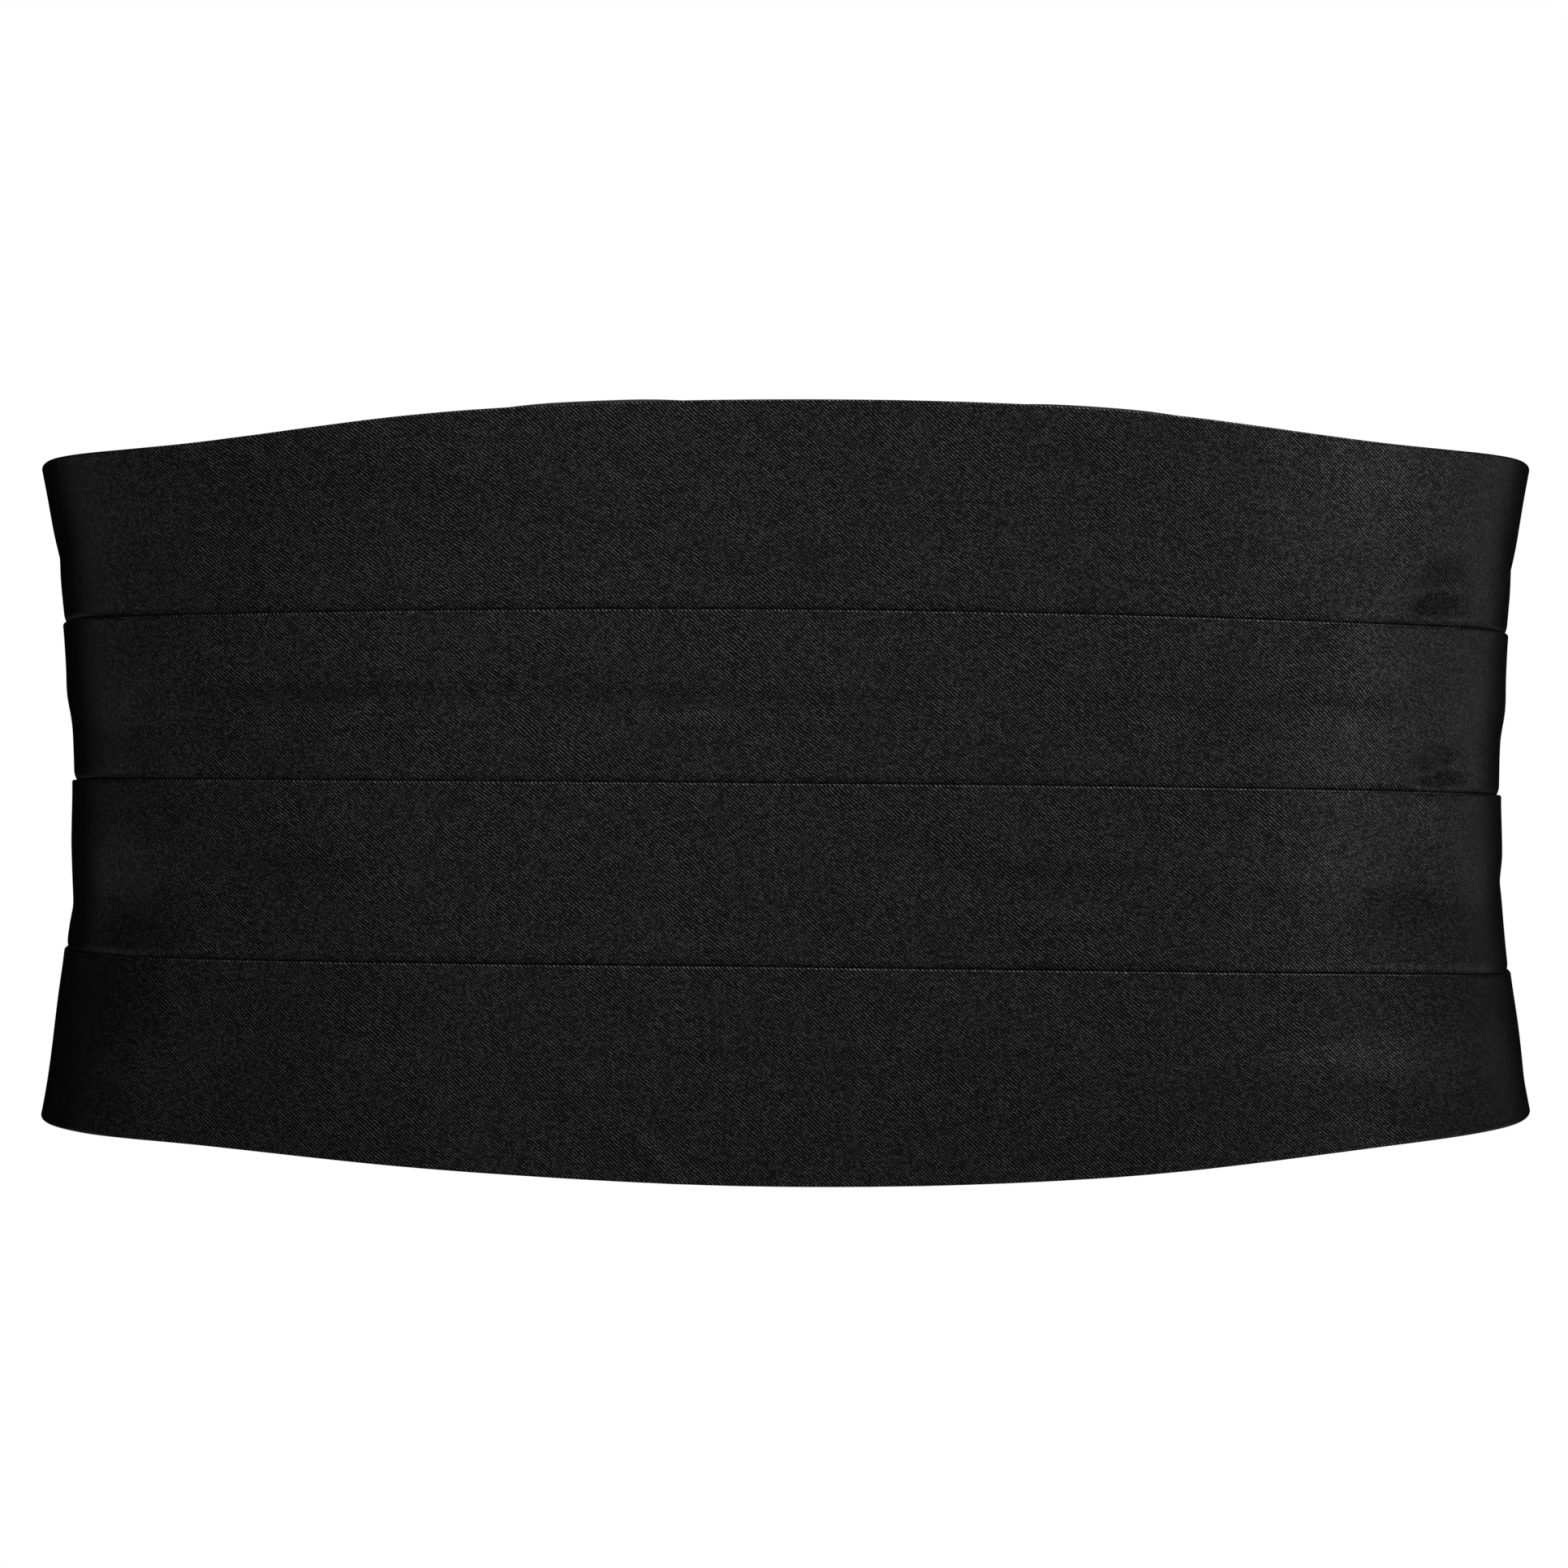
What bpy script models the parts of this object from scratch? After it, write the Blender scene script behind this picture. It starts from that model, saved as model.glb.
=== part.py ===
"""Cummerbund: four satin pleats that open upwards, on a stiff backing, closed behind by a hook and eye.

Metres, +Z up. The wearer faces -Y and left and right are the wearer's, so left is +X.
The origin is the middle of the waist that the band is worn on, at its narrowest height.

Every piece is placed by three distances: along the waist from the centre front (positive to the
wearer's left), out from the figure, and up from the waist line.
"""

import bmesh
import bpy
import numpy as np

# The general figure's waist, seen from above
WAIST_HALF_WIDTH = 0.1305
WAIST_FRONT_DEPTH = 0.0790
WAIST_BACK_DEPTH = 0.1030
FRONT_SQUARENESS = 3.2
BACK_SQUARENESS = 2.4

# How far the figure's sides lean out at a height above or below the waist line
FLARE = 0.0062
FLARE_HEIGHT = 0.0610
FLARE_SHARE_IN_FRONT = 0.35

# The pleated panel and its backing
CLOTH = 0.0010
GAP = 0.0003
UNDERLAP = 0.0140
UNDERLAP_CLEARANCE = 0.0015
SINK = 0.0090
PANEL_END = 0.3100
PANEL_COLUMNS = 52
BACKING_ROWS = 12

# Heights in millimetres of the panel's edges and folds, at distances along the waist
EDGES = ("top", "fold_2", "fold_3", "fold_4", "bottom")
EDGE_TABLE = (
    # along, top, fold_2, fold_3, fold_4, bottom
    (-310.0, 27.0, 13.6, 0.8, -12.6, -26.6),
    (-250.0, 44.6, 22.8, 1.8, -20.8, -44.0),
    (-190.0, 57.4, 29.9, 2.4, -27.4, -56.8),
    (-150.0, 61.0, 31.7, 2.5, -29.0, -60.4),
    (-110.0, 62.8, 32.1, 2.5, -29.8, -62.8),
    (-60.0, 68.1, 32.7, 2.2, -30.4, -67.2),
    (0.0, 70.2, 32.8, 1.8, -31.0, -70.0),
    (60.0, 68.3, 31.8, 1.2, -31.8, -68.3),
    (110.0, 62.8, 30.4, 0.4, -32.6, -63.2),
    (150.0, 60.8, 29.6, -0.3, -33.3, -59.8),
    (190.0, 57.2, 27.9, -0.4, -31.6, -56.4),
    (250.0, 44.4, 21.4, -0.6, -24.4, -44.2),
    (310.0, 26.8, 13.0, -0.6, -14.2, -26.8),
)

# End bands, which catch the pleats' ends
END_BAND_WIDTH = 0.0140
END_BAND_ROWS = 6

# Straps, each doubled back on itself round its bar of the clasp
STRAP_HALF_HEIGHT = 0.0125
STRAP_CLOTH = 0.0012
STRAP_DOUBLED = 0.0170

# The wire eye, with its two uprights' distances from the centre back towards the wearer's right
CLASP_OUT = 0.0030
WIRE_RADIUS = 0.0010
WIRE_SIDES = 8
EYE_STRAP_BAR = 0.0190
EYE_HOOK_BAR = 0.0070
EYE_HALF_HEIGHT = 0.0157
EYE_CORNER = 0.0030

# The plate hook, from its slotted tail on the wearer's left to the nose that holds the eye
HOOK_PLATE = 0.0010
HOOK_TAIL = 0.0205
HOOK_TAIL_BAR = 0.0025
HOOK_TAIL_HALF_HEIGHT = 0.0155
HOOK_SLOT = 0.0035
HOOK_SLOT_HALF_HEIGHT = 0.0131
HOOK_NOSE_HALF_HEIGHT = 0.0055
HOOK_RAMP = 0.0090
HOOK_TONGUE = 0.0040

# Surface finishes: red, green, blue, roughness, metallic
FINISHES = {
    "satin": (0.014, 0.014, 0.015, 0.42, 0.0),
    "backing_cloth": (0.011, 0.011, 0.011, 0.85, 0.0),
    "strap_cloth": (0.012, 0.012, 0.013, 0.70, 0.0),
    "steel": (0.30, 0.30, 0.31, 0.32, 1.0),
}
SHARP_ANGLE = 40.0


def waist_outline(points=8001):
    """Distance along the waist, and x and y there, round one whole turn from the centre back.

    The front half and the back half are each half of a squared ellipse, |x / a|^n + |y / b|^n = 1.
    """
    turn = np.linspace(-np.pi, np.pi, points)
    sine, cosine = np.sin(turn), np.cos(turn)
    squareness = np.where(cosine >= 0, FRONT_SQUARENESS, BACK_SQUARENESS)
    depth = np.where(cosine >= 0, WAIST_FRONT_DEPTH, WAIST_BACK_DEPTH)
    x = WAIST_HALF_WIDTH * np.sign(sine) * np.abs(sine) ** (2 / squareness)
    y = -depth * np.sign(cosine) * np.abs(cosine) ** (2 / squareness)
    along = np.concatenate([[0.0], np.cumsum(np.hypot(np.diff(x), np.diff(y)))])
    return along - along[-1] / 2, x, y


WAIST_ALONG, WAIST_X, WAIST_Y = waist_outline()
CENTRE_BACK = WAIST_ALONG[-1]


def place(along, out, up):
    """World points at these distances along the waist, out from the figure and up from its waist line."""
    along, out, up = np.broadcast_arrays(along, out, up)
    x = np.interp(along, WAIST_ALONG, WAIST_X, period=2 * CENTRE_BACK)
    y = np.interp(along, WAIST_ALONG, WAIST_Y, period=2 * CENTRE_BACK)
    power = np.where(y <= 0, FRONT_SQUARENESS, BACK_SQUARENESS) - 1
    depth = np.where(y <= 0, WAIST_FRONT_DEPTH, WAIST_BACK_DEPTH)
    normal_x = np.sign(x) * np.abs(x / WAIST_HALF_WIDTH) ** power / WAIST_HALF_WIDTH
    normal_y = np.sign(y) * np.abs(y / depth) ** power / depth
    length = np.hypot(normal_x, normal_y)
    normal_x, normal_y = normal_x / length, normal_y / length
    share = FLARE_SHARE_IN_FRONT + (1 - FLARE_SHARE_IN_FRONT) * normal_x**2
    outward = out + FLARE * share * (up / FLARE_HEIGHT) ** 2
    return np.stack([x + normal_x * outward, y + normal_y * outward, up], axis=-1)


def edge_height(name, along):
    """Height of a named edge or fold: a smooth curve through its column of the table."""
    table = np.array(EDGE_TABLE) / 1000
    known = table[:, 0]
    heights = table[:, 1 + EDGES.index(name)]
    slopes = np.gradient(heights, known)
    row = np.clip(np.searchsorted(known, along) - 1, 0, len(known) - 2)
    span = known[row + 1] - known[row]
    t = (along - known[row]) / span
    return (
        heights[row] * (1 + 2 * t) * (1 - t) ** 2
        + slopes[row] * span * t * (1 - t) ** 2
        + heights[row + 1] * t**2 * (3 - 2 * t)
        + slopes[row + 1] * span * t**2 * (t - 1)
    )


def height_share(along):
    """The panel's height there as a share of its height at the centre front."""
    centre = edge_height("top", 0.0) - edge_height("bottom", 0.0)
    return (edge_height("top", along) - edge_height("bottom", along)) / centre


def smooth_step(t):
    """0 below 0, 1 above 1, and an S curve between."""
    t = np.clip(t, 0.0, 1.0)
    return t * t * (3 - 2 * t)


def between(start, stop, *shares):
    """Columns that lie at these shares of the way from one column to another."""
    return start + (stop - start) * np.array(shares)


def material(name):
    """The named finish as a material, made once."""
    found = bpy.data.materials.get(name)
    if found:
        return found
    red, green, blue, roughness, metallic = FINISHES[name]
    made = bpy.data.materials.new(name)
    made.use_nodes = True
    made.diffuse_color = (red, green, blue, 1.0)
    shader = made.node_tree.nodes["Principled BSDF"]
    shader.inputs["Base Color"].default_value = (red, green, blue, 1.0)
    shader.inputs["Roughness"].default_value = roughness
    shader.inputs["Metallic"].default_value = metallic
    return made


def solid(name, sections, finish, parent, ring=False):
    """A closed body through a row of like sections, with end faces unless the row is a ring."""
    rows, points = sections.shape[:2]
    near = np.arange(rows * points).reshape(rows, points)
    near_after = np.roll(near, -1, axis=1)
    far, far_after = np.roll(near, -1, axis=0), np.roll(near_after, -1, axis=0)
    walls = rows if ring else rows - 1
    quads = np.stack([near, near_after, far_after, far], axis=-1)[:walls]
    faces = quads.reshape(-1, 4).tolist()
    if not ring:
        faces += [near[0, ::-1].tolist(), near[-1].tolist()]
    mesh = bpy.data.meshes.new(name)
    mesh.from_pydata(sections.reshape(-1, 3).tolist(), [], faces)
    work = bmesh.new()
    work.from_mesh(mesh)
    bmesh.ops.recalc_face_normals(work, faces=work.faces)
    work.to_mesh(mesh)
    work.free()
    mesh.shade_smooth()
    mesh.set_sharp_from_angle(angle=np.radians(SHARP_ANGLE))
    mesh.materials.append(material(finish))
    made = bpy.data.objects.new(name, mesh)
    made.parent = parent
    bpy.context.collection.objects.link(made)
    return made


def strip(path, thickness, low, high, rows=1):
    """Sections of a flat strip that stands on edge and follows a path.

    The path is pairs of distances, along the waist and out from the figure. The strip has this
    thickness, and reaches from low to high at each point of the path.
    """
    heading = np.gradient(path, axis=0)
    heading /= np.linalg.norm(heading, axis=1, keepdims=True)
    side = np.stack([-heading[:, 1], heading[:, 0]], axis=1) * thickness / 2
    low = np.broadcast_to(low, len(path))[:, None]
    high = np.broadcast_to(high, len(path))[:, None]
    up = between(low, high, *np.linspace(0, 1, rows + 1))
    one_face, other_face = path + side, path - side
    return np.concatenate(
        [
            place(one_face[:, :1], one_face[:, 1:], up),
            place(other_face[:, :1], other_face[:, 1:], up[:, ::-1]),
        ],
        axis=1,
    )


def arc(centre, radius, start, stop, count):
    """Points on an arc in the plane of along and out, between two angles in degrees."""
    angle = np.radians(np.linspace(start, stop, count))
    return [(centre[0] + radius * np.cos(a), centre[1] + radius * np.sin(a)) for a in angle]


def make_backing(parent):
    """The stiff cloth behind the pleats, which lies on the figure."""
    along = np.linspace(-PANEL_END, PANEL_END, PANEL_COLUMNS + 1)
    path = np.stack([along, np.full_like(along, CLOTH / 2)], axis=1)
    low, high = edge_height("bottom", along), edge_height("top", along)
    return solid("backing", strip(path, CLOTH, low, high, BACKING_ROWS), "backing_cloth", parent)


def make_pleat(number, parent):
    """One band of the folded satin, from its upper folded edge to its tail under the next band.

    It lies over the tail of the band above, then sinks back on to the backing. The top band has
    nothing under it, and the bottom band has no tail but a turned hem.
    """
    along = np.linspace(-PANEL_END, PANEL_END, PANEL_COLUMNS + 1)[:, None]
    share = height_share(along)
    is_top, is_bottom = number == 1, number == len(EDGES) - 1
    fold = edge_height(EDGES[number - 1], along)
    end = edge_height(EDGES[number], along) - (0 if is_bottom else UNDERLAP * share)
    radius = CLOTH / 2
    first_row = fold - radius
    last_row = end + (radius if is_bottom else 0)
    on_backing = CLOTH + GAP
    at_fold = on_backing if is_top else on_backing + CLOTH + GAP
    sink_start = fold - (UNDERLAP + UNDERLAP_CLEARANCE) * share
    sink_end = sink_start - SINK * share
    if is_top:
        up = between(first_row, last_row, 0, 1 / 4, 2 / 4, 3 / 4, 1)
    else:
        over_tail = between(first_row, sink_start, 0, 1 / 2)
        sinking = between(sink_start, sink_end, 0, 1 / 3, 2 / 3, 1)
        lying = between(sink_end, last_row, 1 / 2, 1)
        up = np.concatenate([over_tail, sinking, lying], axis=1)
    sunk = smooth_step((sink_start - up) / (sink_start - sink_end))
    inside = at_fold + (on_backing - at_fold) * sunk
    turn = np.radians([45, 90, 135])
    level = np.zeros_like(along)
    heights = [up[:, ::-1], first_row + radius * np.sin(turn), up]
    outs = [inside[:, ::-1] + CLOTH, level + at_fold + radius + radius * np.cos(turn), inside]
    if is_bottom:
        heights.append(last_row - radius * np.sin(turn))
        outs.append(level + on_backing + radius - radius * np.cos(turn))
    sections = place(along, np.concatenate(outs, axis=1), np.concatenate(heights, axis=1))
    return solid(f"pleat_{number}", sections, "satin", parent)


def end_band_levels():
    """How far out the end band's two legs run, outside and inside the pleats."""
    return 3 * (CLOTH + GAP) + CLOTH / 2, -GAP - CLOTH / 2


def make_end_band(name, side, parent):
    """A folded strip round the pleats' ends: along the outside, over the end, and back along the inside."""
    outside, inside = end_band_levels()
    radius = (outside - inside) / 2
    centre = (PANEL_END + GAP + CLOTH / 2 - radius / 2, (outside + inside) / 2)
    edge = PANEL_END - END_BAND_WIDTH
    path = [(edge, outside), (centre[0] - radius / 2, outside)]
    path += arc(centre, radius, 70, -70, 7)
    path += [(centre[0] - radius / 2, inside), (edge, inside)]
    path = np.array(path)
    reach = side * np.minimum(path[:, 0], PANEL_END)
    low, high = edge_height("bottom", reach), edge_height("top", reach)
    path[:, 0] *= side
    return solid(name, strip(path, CLOTH, low, high, END_BAND_ROWS), "satin", parent)


def make_strap(name, side, bar, bar_radius, parent):
    """A strap from its end band to the clasp, round a bar there and back on itself.

    The bar is this far from the centre back, on the strap's own side.
    """
    outside, inside = end_band_levels()
    end_band_middle = (outside + inside) / 2
    end_band_reach = GAP + CLOTH + (outside - inside) / 4
    start = CENTRE_BACK - PANEL_END - end_band_reach - GAP
    loop = bar_radius + GAP + STRAP_CLOTH / 2
    apart = (STRAP_CLOTH + GAP) / 2
    flat_from, doubled_to = bar + 3 * loop, bar + STRAP_DOUBLED
    path = [(start, end_band_middle), (doubled_to, CLASP_OUT + apart), (flat_from, CLASP_OUT + apart)]
    path += arc((bar, CLASP_OUT), loop, 60, 300, 11)
    path += [(flat_from, CLASP_OUT - apart), (doubled_to, CLASP_OUT - apart)]
    path = np.array(path)
    path[:, 0] = side * (CENTRE_BACK - path[:, 0])
    sections = strip(path, STRAP_CLOTH, -STRAP_HALF_HEIGHT, STRAP_HALF_HEIGHT)
    return solid(name, sections, "strap_cloth", parent)


def make_eye(parent):
    """A rectangle of wire. The right strap goes round one upright, and the hook round the other."""
    middle = (EYE_STRAP_BAR + EYE_HOOK_BAR) / 2
    half_width = (EYE_STRAP_BAR - EYE_HOOK_BAR) / 2 - EYE_CORNER
    half_height = EYE_HALF_HEIGHT - EYE_CORNER
    quarter = np.radians([0, 30, 60, 90])
    turn = np.concatenate([quarter + corner * np.pi / 2 for corner in range(4)])[:, None]
    corner_along = np.repeat([half_width, -half_width, -half_width, half_width], len(quarter))
    corner_up = np.repeat([half_height, half_height, -half_height, -half_height], len(quarter))
    round_wire = np.linspace(0, 2 * np.pi, WIRE_SIDES, endpoint=False)
    reach = EYE_CORNER + WIRE_RADIUS * np.cos(round_wire)
    along = middle + corner_along[:, None] + reach * np.cos(turn) - CENTRE_BACK
    up = corner_up[:, None] + reach * np.sin(turn)
    out = CLASP_OUT + WIRE_RADIUS * np.sin(round_wire)
    return solid("eye", place(along, out, up), "steel", parent, ring=True)


def make_hook(parent):
    """A bent plate: a slotted tail that the left strap goes through, and a nose round the eye's upright."""
    nose = WIRE_RADIUS + GAP + HOOK_PLATE / 2
    slot_start = -HOOK_TAIL + HOOK_TAIL_BAR
    slot_end = slot_start + HOOK_SLOT
    taper_start, taper_end = slot_end + HOOK_TAIL_BAR, EYE_HOOK_BAR - 3 * nose
    ramp = np.linspace(EYE_HOOK_BAR - HOOK_RAMP, EYE_HOOK_BAR, 6)[:-1]
    rise = nose * smooth_step((ramp - ramp[0]) / HOOK_RAMP)
    path = [(-HOOK_TAIL, CLASP_OUT), (slot_end, CLASP_OUT), (taper_start, CLASP_OUT)]
    path += zip(ramp, CLASP_OUT + rise)
    path += arc((EYE_HOOK_BAR, CLASP_OUT), nose, 90, -90, 7)
    path += [(EYE_HOOK_BAR - HOOK_TONGUE, CLASP_OUT - nose)]
    path = np.array(path)
    taper = smooth_step((path[:, 0] - taper_start) / (taper_end - taper_start))
    half_height = HOOK_TAIL_HALF_HEIGHT + (HOOK_NOSE_HALF_HEIGHT - HOOK_TAIL_HALF_HEIGHT) * taper
    path[:, 0] -= CENTRE_BACK
    hook = solid("hook", strip(path, HOOK_PLATE, -half_height, half_height), "steel", parent)
    slot = np.array([(slot_start, CLASP_OUT), (slot_end, CLASP_OUT)])
    slot[:, 0] -= CENTRE_BACK
    through = strip(slot, 4 * HOOK_PLATE, -HOOK_SLOT_HALF_HEIGHT, HOOK_SLOT_HALF_HEIGHT)
    cutter = solid("hook_slot_cutter", through, "steel", parent)
    cutter.hide_render = True
    cutter.display_type = "WIRE"
    cut = hook.modifiers.new("slot", "BOOLEAN")
    cut.operation = "DIFFERENCE"
    cut.object = cutter
    return hook


def main():
    for thing in list(bpy.data.objects):
        bpy.data.objects.remove(thing, do_unlink=True)
    cummerbund = bpy.data.objects.new("cummerbund", None)
    bpy.context.collection.objects.link(cummerbund)
    make_backing(cummerbund)
    for number in range(1, len(EDGES)):
        make_pleat(number, cummerbund)
    make_end_band("end_band_left", 1, cummerbund)
    make_end_band("end_band_right", -1, cummerbund)
    hook_bar = HOOK_TAIL - HOOK_TAIL_BAR / 2
    make_strap("strap_left", 1, hook_bar, np.hypot(HOOK_TAIL_BAR, HOOK_PLATE) / 2, cummerbund)
    make_strap("strap_right", -1, EYE_STRAP_BAR, WIRE_RADIUS, cummerbund)
    make_eye(cummerbund)
    make_hook(cummerbund)


main()
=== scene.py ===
# %% [markdown]
# A pleated cummerbund, dressed in black satin
#
# A cummerbund is a wide waist sash for evening dress. One length of satin is folded into four
# bands whose folded edges face up, and the folded panel is sewn on a stiff backing. Straps and
# a hook and eye close it behind the wearer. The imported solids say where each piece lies. Here
# each one gets the thin cloth, the creases, the sewing and the finish of the real thing.

import bpy
import numpy as np
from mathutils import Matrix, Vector


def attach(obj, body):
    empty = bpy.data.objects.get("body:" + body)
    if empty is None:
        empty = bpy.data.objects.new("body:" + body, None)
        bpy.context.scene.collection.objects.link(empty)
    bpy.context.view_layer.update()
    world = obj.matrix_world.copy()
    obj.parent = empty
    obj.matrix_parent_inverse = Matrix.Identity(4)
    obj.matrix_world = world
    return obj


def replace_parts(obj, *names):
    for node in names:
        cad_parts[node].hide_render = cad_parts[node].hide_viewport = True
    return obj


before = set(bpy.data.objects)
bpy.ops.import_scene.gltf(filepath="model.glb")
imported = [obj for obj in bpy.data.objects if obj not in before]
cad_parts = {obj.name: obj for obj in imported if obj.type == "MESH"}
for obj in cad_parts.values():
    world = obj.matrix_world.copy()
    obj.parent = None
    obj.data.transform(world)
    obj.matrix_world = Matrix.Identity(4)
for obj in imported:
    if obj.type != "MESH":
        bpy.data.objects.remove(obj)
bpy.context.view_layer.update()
MM = 0.001

# %% [markdown]
# ## The waist
#
# Everything lies on a general waist, so a piece is easiest to describe by three distances: along
# the waist from the centre front, out from the figure, and up from the waist line. The waist seen
# from above is a squared ellipse, flatter in front than behind. Its sides lean out above and
# below the waist line, more at the hips than in front. These are the solids' own sizes.

# %% Turn along, out and up into points
WAIST_HALF_WIDTH = 130.5 * MM
WAIST_FRONT_DEPTH = 79.0 * MM
WAIST_BACK_DEPTH = 103.0 * MM
FRONT_SQUARENESS = 3.2
BACK_SQUARENESS = 2.4
FLARE = 6.2 * MM
FLARE_HEIGHT = 61.0 * MM
FLARE_SHARE_IN_FRONT = 0.35
WAIST_POINTS = 8001


def waist_outline():
    """Distance along the waist, x and y: front and back are halves of |x/a|^n + |y/b|^n = 1."""
    turn = np.linspace(-np.pi, np.pi, WAIST_POINTS)
    sine, cosine = np.sin(turn), np.cos(turn)
    squareness = np.where(cosine >= 0, FRONT_SQUARENESS, BACK_SQUARENESS)
    depth = np.where(cosine >= 0, WAIST_FRONT_DEPTH, WAIST_BACK_DEPTH)
    x = WAIST_HALF_WIDTH * np.sign(sine) * np.abs(sine) ** (2 / squareness)
    y = -depth * np.sign(cosine) * np.abs(cosine) ** (2 / squareness)
    along = np.concatenate([[0.0], np.cumsum(np.hypot(np.diff(x), np.diff(y)))])
    return along - along[-1] / 2, x, y


WAIST_ALONG, WAIST_X, WAIST_Y = waist_outline()
CENTRE_BACK = WAIST_ALONG[-1]


def place(along, out, up):
    """Points at these distances: the waist's point, plus its normal times out and the flare."""
    along, out, up = np.broadcast_arrays(along, out, up)
    x = np.interp(along, WAIST_ALONG, WAIST_X, period=2 * CENTRE_BACK)
    y = np.interp(along, WAIST_ALONG, WAIST_Y, period=2 * CENTRE_BACK)
    power = np.where(y <= 0, FRONT_SQUARENESS, BACK_SQUARENESS) - 1
    depth = np.where(y <= 0, WAIST_FRONT_DEPTH, WAIST_BACK_DEPTH)
    normal_x = np.sign(x) * np.abs(x / WAIST_HALF_WIDTH) ** power / WAIST_HALF_WIDTH
    normal_y = np.sign(y) * np.abs(y / depth) ** power / depth
    length = np.hypot(normal_x, normal_y)
    normal_x, normal_y = normal_x / length, normal_y / length
    share = FLARE_SHARE_IN_FRONT + (1 - FLARE_SHARE_IN_FRONT) * normal_x**2
    outward = out + FLARE * share * (up / FLARE_HEIGHT) ** 2
    return np.stack([x + normal_x * outward, y + normal_y * outward, up], axis=-1)


print("waist in mm:", round(2 * CENTRE_BACK / MM, 1))

# %% [markdown]
# ## Where the folds run
#
# The folded edges bend a little, and the whole panel narrows towards its ends. Those heights are
# read from the solids, so the satin lies where they are: each point of a solid is brought back
# to its distance along the waist, and each column's highest point is the fold's height there.

# %% Read the edges' heights from the solids
PANEL_END = 310.0 * MM
PANEL_COLUMNS = 52


def corners(node):
    """A solid's points as rows of x, y, z."""
    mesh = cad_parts[node].data
    flat = np.empty(len(mesh.vertices) * 3)
    mesh.vertices.foreach_get("co", flat)
    return flat.reshape(-1, 3)


def reach_of(node):
    """Lowest and highest point of each column of a solid, against its distance along the waist."""
    points = np.unique(np.round(corners(node), 6), axis=0)
    nearest = np.hypot(points[:, :1] - WAIST_X, points[:, 1:2] - WAIST_Y).argmin(axis=1)
    step = 2 * PANEL_END / PANEL_COLUMNS
    column = np.rint((WAIST_ALONG[nearest] + PANEL_END) / step).astype(int)
    low = np.full(PANEL_COLUMNS + 1, np.inf)
    high = np.full(PANEL_COLUMNS + 1, -np.inf)
    np.minimum.at(low, column, points[:, 2])
    np.maximum.at(high, column, points[:, 2])
    return low, high


KNOWN = np.linspace(-PANEL_END, PANEL_END, PANEL_COLUMNS + 1)
BANDS = ("pleat_1", "pleat_2", "pleat_3", "pleat_4")
EDGES = [reach_of(band)[1] for band in BANDS] + [reach_of(BANDS[-1])[0]]


def edge_height(edge, along):
    """Height of an edge, 0 at the top to 4 at the bottom: a cubic through the solids' columns."""
    heights = EDGES[edge]
    slopes = np.gradient(heights, KNOWN)
    row = np.clip(np.searchsorted(KNOWN, along) - 1, 0, PANEL_COLUMNS - 1)
    span = KNOWN[1] - KNOWN[0]
    t = (along - KNOWN[row]) / span
    ends = heights[row] * (1 + 2 * t) * (1 - t) ** 2 + heights[row + 1] * t**2 * (3 - 2 * t)
    bends = slopes[row] * t * (1 - t) ** 2 + slopes[row + 1] * t**2 * (t - 1)
    return ends + bends * span


def height_share(along):
    """The panel's height there, as a share of its height at the centre front."""
    return (edge_height(0, along) - edge_height(4, along)) / (EDGES[0].max() - EDGES[4].min())


centre_front = [round(float(edge_height(edge, 0.0)) / MM, 1) for edge in range(len(EDGES))]
print("edges at the centre front in mm:", centre_front)

# %% [markdown]
# ## From numbers to a mesh
#
# Each cloth piece is worked out as a grid of points: rows down the cloth's section, columns along
# the waist. The same grid gives the mesh its UV map, in metres of cloth, so that a weave keeps
# its real size and follows every fold. A Solidify modifier gives the grid its thickness.

# %% Make a mesh from a grid
def smooth_step(t):
    """0 below 0, 1 above 1, and an S curve between."""
    t = np.clip(t, 0.0, 1.0)
    return t * t * (3 - 2 * t)


def add_piece(name, data, material):
    """An object of a mesh or a curve, in one material, that rides with the root."""
    data.materials.append(material)
    piece = bpy.data.objects.new(name, data)
    bpy.context.collection.objects.link(piece)
    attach(piece, "root")
    return piece


def grid_mesh(name, points, uv, thickness, material, keep=None):
    """A piece from a grid of points, thickened both ways: each quad joins four neighbours.

    uv holds a cloth place for each point, and keep says which quads stay.
    """
    rows, columns = points.shape[:2]
    index = np.arange(rows * columns).reshape(rows, columns)
    quads = np.stack([index[:-1, :-1], index[1:, :-1], index[1:, 1:], index[:-1, 1:]], axis=-1)
    if keep is not None:
        quads = quads[keep]
    mesh = bpy.data.meshes.new(name)
    mesh.from_pydata(points.reshape(-1, 3).tolist(), [], quads.reshape(-1, 4).tolist())
    layer = mesh.uv_layers.new(name="cloth")
    layer.data.foreach_set("uv", uv.reshape(-1, 2)[quads.reshape(-1)].ravel())
    mesh.shade_smooth()
    piece = add_piece(name, mesh, material)
    wall = piece.modifiers.new("thickness", "SOLIDIFY")
    wall.thickness = thickness
    wall.offset = 0.0
    wall.use_even_offset = True
    return piece


def run_down(out, up):
    """Distance down the cloth from its first row, in each column."""
    steps = np.hypot(np.diff(out, axis=0), np.diff(up, axis=0))
    return np.concatenate([np.zeros_like(up[:1]), np.cumsum(steps, axis=0)])


def run_of(points):
    """Distance of each point of a line from its start."""
    steps = np.linalg.norm(np.diff(points, axis=0), axis=1)
    return np.concatenate([[0.0], np.cumsum(steps)])


def at_even_steps(values, run, count):
    """Values along a line, read at count even steps of its length."""
    wanted = np.linspace(0, run[-1], count)
    return np.stack([np.interp(wanted, run, column) for column in values.T], axis=-1)


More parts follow.
